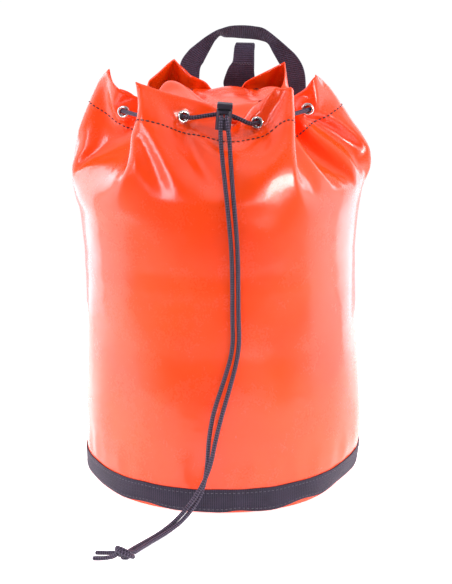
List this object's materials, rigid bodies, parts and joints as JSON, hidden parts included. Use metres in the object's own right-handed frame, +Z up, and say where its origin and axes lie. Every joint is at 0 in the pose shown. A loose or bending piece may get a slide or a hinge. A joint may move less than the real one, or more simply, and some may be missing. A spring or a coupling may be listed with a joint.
{
  "type": "rope storage bag",
  "caption": "Upright drawstring cylinder bag for rope, with gathered mouth, cord lock, storm flap, base band, grab handle, hang loop and back straps.",
  "frame": {"origin": "on the floor, on the axis of the round body", "axes": "+Z up; the front, with the cord lock, faces -Y; the handle and straps are at the back, +Y"},
  "size_m": [0.3069, 0.4708, 0.4739],
  "materials": {
    "pvc_fabric": "glossy coated fabric",
    "webbing": "woven webbing",
    "cord": "braided cord",
    "nickel": "nickel-plated",
    "lock_plastic": "moulded, satin",
    "spring_steel": "bright wire"
  },
  "bodies": {
    "bag": {"bag_wall": "pvc_fabric", "base_panel": "pvc_fabric", "base_band": "webbing", "eyelets": "nickel", "eyelet_washers": "nickel", "drawcord_ring": "cord", "drawcord_lead_left": "cord", "drawcord_lead_right": "cord", "drawcord_tail_left": "cord", "drawcord_tail_right": "cord", "drawcord_knot": "cord", "drawcord_ends": "cord", "flap_seam": "pvc_fabric", "handle_ends": "webbing", "back_yoke": "webbing", "strap_anchors": "webbing"},
    "cord_lock": {"cord_lock_barrel": "lock_plastic", "cord_lock_spring": "spring_steel"},
    "lock_plunger": {"cord_lock_plunger": "lock_plastic"},
    "flap": {"storm_flap": "pvc_fabric"},
    "handle": {"grab_handle": "webbing"},
    "loop": {"hang_loop": "webbing"},
    "strap_left": {"shoulder_strap_left": "webbing", "strap_adjuster_left": "lock_plastic", "strap_web_left": "webbing"},
    "strap_right": {"shoulder_strap_right": "webbing", "strap_adjuster_right": "lock_plastic", "strap_web_right": "webbing"}
  },
  "joints": [
    {"name": "lock_slide", "type": "slide", "parent": "bag", "child": "cord_lock", "axis": [-0.035, -0.4003, -0.9157], "range_m": [0, 0.03], "deforming": ["drawcord_lead_left", "drawcord_lead_right", "drawcord_tail_left", "drawcord_tail_right"]},
    {"name": "plunger_press", "type": "slide", "parent": "cord_lock", "child": "lock_plunger", "axis": [-0.0872, 0, -0.9962], "range_m": [0, 0.0018], "stiffness_N_per_m": 600, "springref_m": -0.003, "deforming": ["cord_lock_spring"]},
    {"name": "flap_hinge", "type": "hinge", "parent": "bag", "child": "flap", "pos_m": [0, 0.0508, 0.4116], "axis": [-1, 0, 0], "range_deg": [0, 80]},
    {"name": "handle_swing", "type": "hinge", "parent": "bag", "child": "handle", "pos_m": [0.0237, 0.1456, 0.323], "axis": [-0.9867, 0.1624, 0], "range_deg": [-4, 84]},
    {"name": "loop_swing", "type": "hinge", "parent": "bag", "child": "loop", "pos_m": [0.022, 0.095, 0.4058], "axis": [-0.9867, 0.1624, 0], "range_deg": [-20, 30]},
    {"name": "strap_swing_left", "type": "hinge", "parent": "bag", "child": "strap_left", "pos_m": [0.01166, 0.10298, 0.398], "axis": [-0.2185, 0.112, -0.9694], "range_deg": [-12, 0]},
    {"name": "strap_swing_right", "type": "hinge", "parent": "bag", "child": "strap_right", "pos_m": [0.03435, 0.09925, 0.398], "axis": [0.2062, 0.0458, -0.9774], "range_deg": [-3, 5]}
  ]
}
